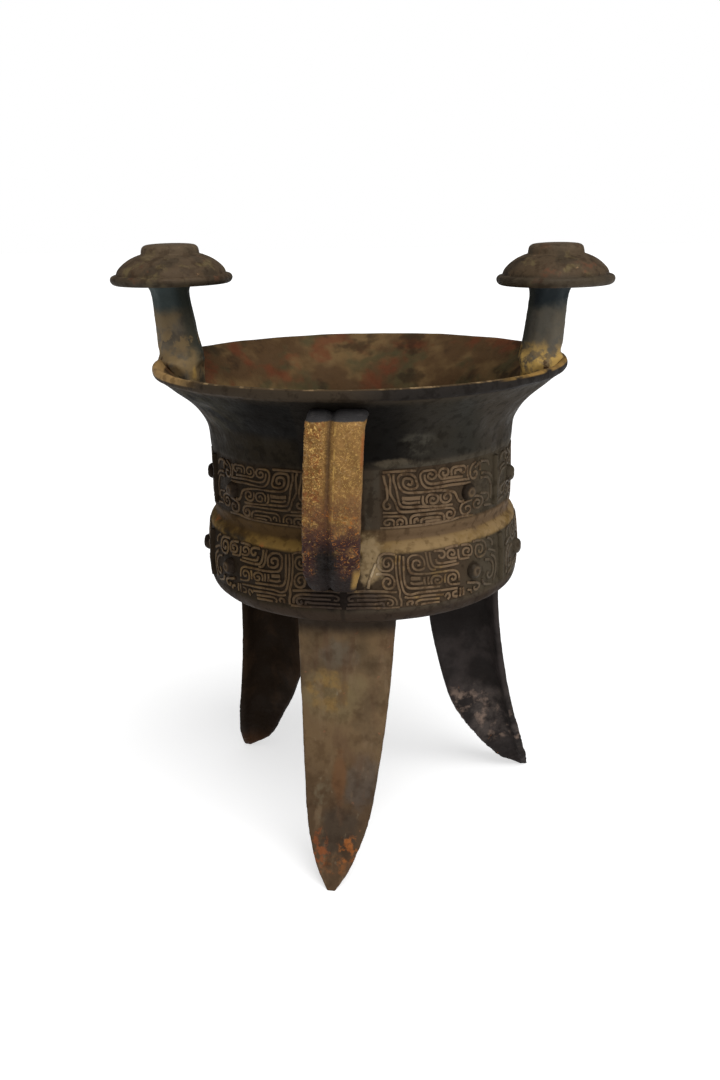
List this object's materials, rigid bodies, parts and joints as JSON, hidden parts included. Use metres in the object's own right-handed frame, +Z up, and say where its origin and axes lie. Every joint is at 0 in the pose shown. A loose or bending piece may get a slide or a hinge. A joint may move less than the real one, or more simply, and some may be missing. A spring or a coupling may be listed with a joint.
{
  "type": "ritual wine warming vessel (jia)",
  "caption": "Cast tripod wine vessel with a flared mouth, capped posts on the rim, a strap handle and friezes of raised mask ornament.",
  "frame": {"origin": "middle of the bounding box at the height of the leg tips, on the floor the vessel stands on", "axes": "+Z up through the mouth; the handle and the leg under it face -Y; the posts stand towards -X and +X"},
  "size_m": [0.2298, 0.1944, 0.277],
  "materials": {
    "bronze": "dark brown to black patinated cast bronze, dull, with golden, green and rust-red corrosion in patches"
  },
  "bodies": {
    "root": {"jia": "bronze"}
  },
  "joints": []
}
